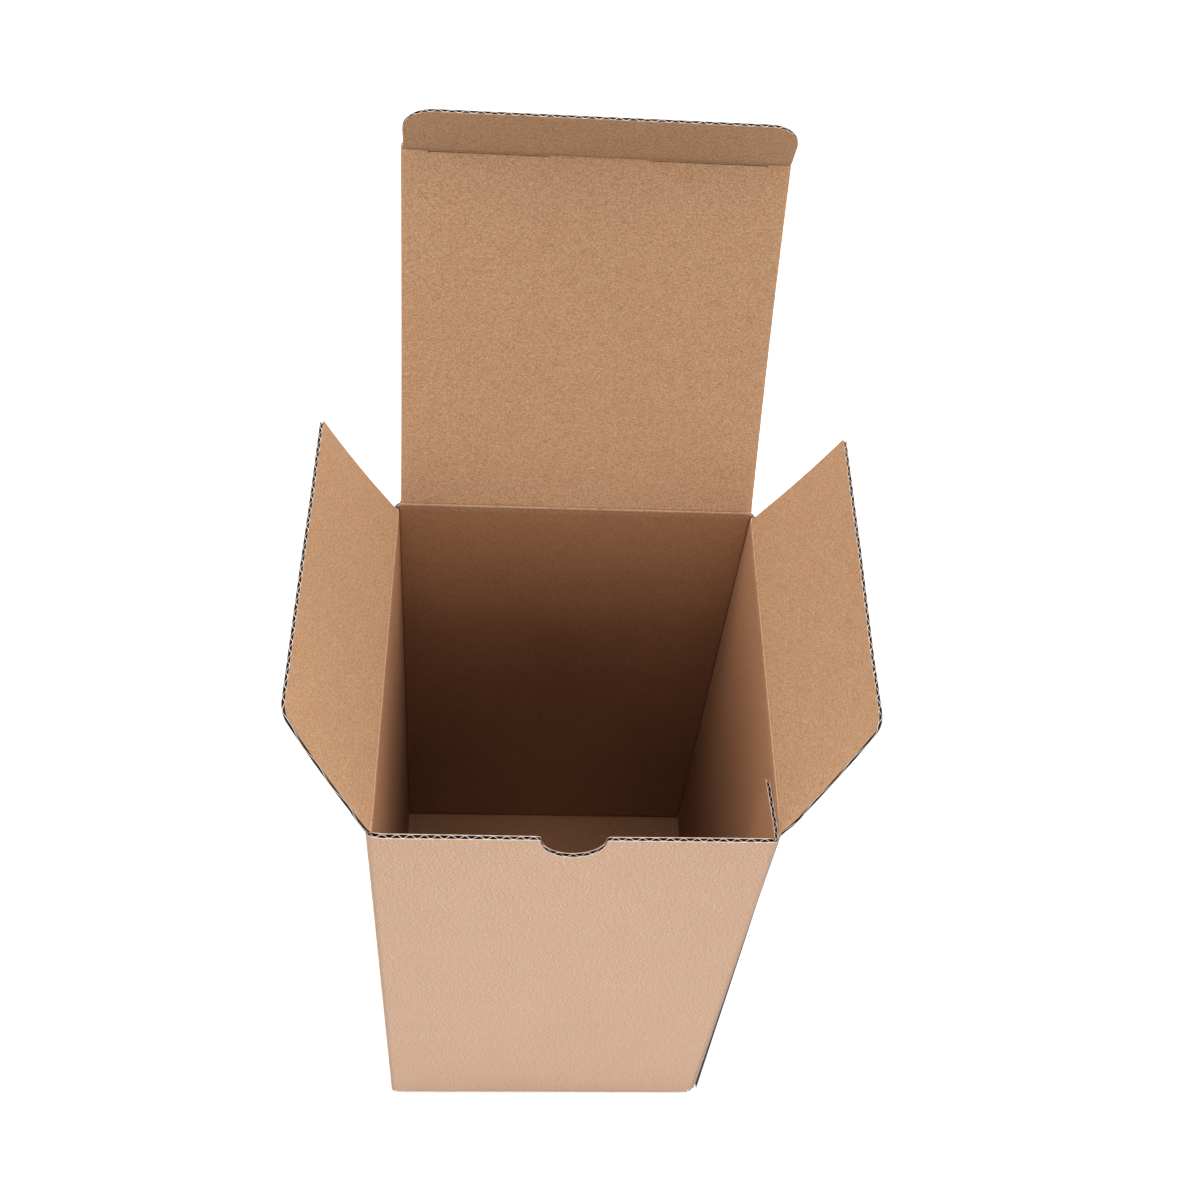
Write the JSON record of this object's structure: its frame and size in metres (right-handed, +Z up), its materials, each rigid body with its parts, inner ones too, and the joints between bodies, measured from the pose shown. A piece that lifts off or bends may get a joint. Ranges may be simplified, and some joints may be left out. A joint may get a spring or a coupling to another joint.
{
  "type": "candle box",
  "caption": "Open tuck-top carton of folded kraft corrugated board, tall and nearly square, with a hinged lid, tuck flap, side dust flaps and a thumb notch in the front wall.",
  "frame": {"origin": "on the ground under the middle of the box's four walls", "axes": "+Z up; -Y is the front, the wall with the thumb notch; the lid is hinged at +Y; +X is the right side seen from the front"},
  "size_m": [0.1416, 0.143, 0.2919],
  "materials": {
    "board_outside": "matt kraft liner, outer face",
    "board_inside": "matt kraft liner, inner face"
  },
  "bodies": {
    "box": {"box_body": "board_outside"},
    "lid": {"lid_panel": "board_inside"},
    "tuck": {"tuck_flap": "board_inside"},
    "left_dust": {"left_dust_flap": "board_inside"},
    "right_dust": {"right_dust_flap": "board_inside"}
  },
  "joints": [
    {"name": "lid_hinge", "type": "hinge", "parent": "box", "child": "lid", "pos_m": [0, 0.052, 0.1835], "axis": [-1, 0, 0], "range_deg": [-111.7, 142]},
    {"name": "tuck_hinge", "type": "hinge", "parent": "lid", "child": "tuck", "pos_m": [0, 0.09107, 0.27555], "axis": [1, 0, 0], "range_deg": [-41.5, 48.5]},
    {"name": "left_dust_hinge", "type": "hinge", "parent": "box", "child": "left_dust", "pos_m": [-0.05175, 0, 0.1817], "axis": [0, -1, 0], "range_deg": [-116, 139]},
    {"name": "right_dust_hinge", "type": "hinge", "parent": "box", "child": "right_dust", "pos_m": [0.05175, 0, 0.1817], "axis": [0, 1, 0], "range_deg": [-116, 139]}
  ]
}
